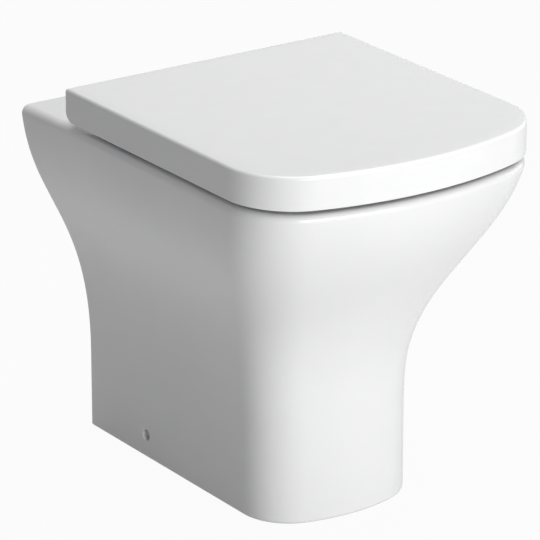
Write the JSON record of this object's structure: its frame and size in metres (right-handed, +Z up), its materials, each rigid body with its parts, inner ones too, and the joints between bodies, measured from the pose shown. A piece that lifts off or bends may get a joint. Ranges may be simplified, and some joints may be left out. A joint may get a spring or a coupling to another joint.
{
  "type": "back-to-wall toilet pan",
  "caption": "Floor-standing back-to-wall toilet pan in white china, with flared skirt, rear platform, hinged seat ring and slim wrap-over lid.",
  "frame": {"origin": "on the floor, under the middle of the overall box", "axes": "+Z up, the front faces -Y and the wall side faces +Y, +X along the width; the wall plane is at y = +0.244 m"},
  "size_m": [0.364, 0.488, 0.4375],
  "materials": {
    "china": "glossy white glaze",
    "seat_plastic": "glossy white thermoset",
    "damper_plastic": "pale grey moulding",
    "steel": "stainless, turned and polished",
    "nut_brass": "plain turned",
    "soft_rubber": "matt pale grey"
  },
  "bodies": {
    "pan": {"ceramic_pan": "china", "hinge_post_left": "steel", "hinge_post_right": "steel", "hinge_plate_left": "steel", "hinge_plate_right": "steel", "plate_gasket_left": "soft_rubber", "plate_gasket_right": "soft_rubber", "expansion_sleeve_left": "soft_rubber", "expansion_sleeve_right": "soft_rubber", "sleeve_nut_left": "nut_brass", "sleeve_nut_right": "nut_brass"},
    "hinge_carriage": {"hinge_block_left": "seat_plastic", "hinge_block_right": "seat_plastic", "seat_damper": "damper_plastic", "lid_damper": "damper_plastic", "seat_pivot_pin": "steel", "lid_pivot_pin": "steel", "latch_clip_left": "steel", "latch_clip_right": "steel"},
    "seat": {"seat_ring": "seat_plastic", "seat_buffers": "soft_rubber", "seat_damper_shaft": "steel"},
    "lid": {"lid": "seat_plastic", "lid_buffers": "soft_rubber", "lid_damper_shaft": "steel"},
    "button_left": {"release_button_left": "damper_plastic"},
    "button_right": {"release_button_right": "damper_plastic"}
  },
  "joints": [
    {"name": "seat_lift_off", "type": "slide", "parent": "pan", "child": "hinge_carriage", "axis": [0, 0, 1], "range_m": [0, 0.03], "deforming": ["latch_clip_left", "latch_clip_right"]},
    {"name": "seat_hinge", "type": "hinge", "parent": "hinge_carriage", "child": "seat", "pos_m": [0, 0.1385, 0.42], "axis": [-1, 0, 0], "range_deg": [0, 100]},
    {"name": "lid_hinge", "type": "hinge", "parent": "seat", "child": "lid", "pos_m": [0, 0.1385, 0.42], "axis": [1, 0, 0], "range_deg": [-100, 0]},
    {"name": "release_button_left_press", "type": "slide", "parent": "hinge_carriage", "child": "button_left", "axis": [-1, 0, 0], "range_m": [0, 0.0035], "stiffness_N_per_m": 600},
    {"name": "release_button_right_press", "type": "slide", "parent": "hinge_carriage", "child": "button_right", "axis": [1, 0, 0], "range_m": [0, 0.0035], "stiffness_N_per_m": 600}
  ]
}
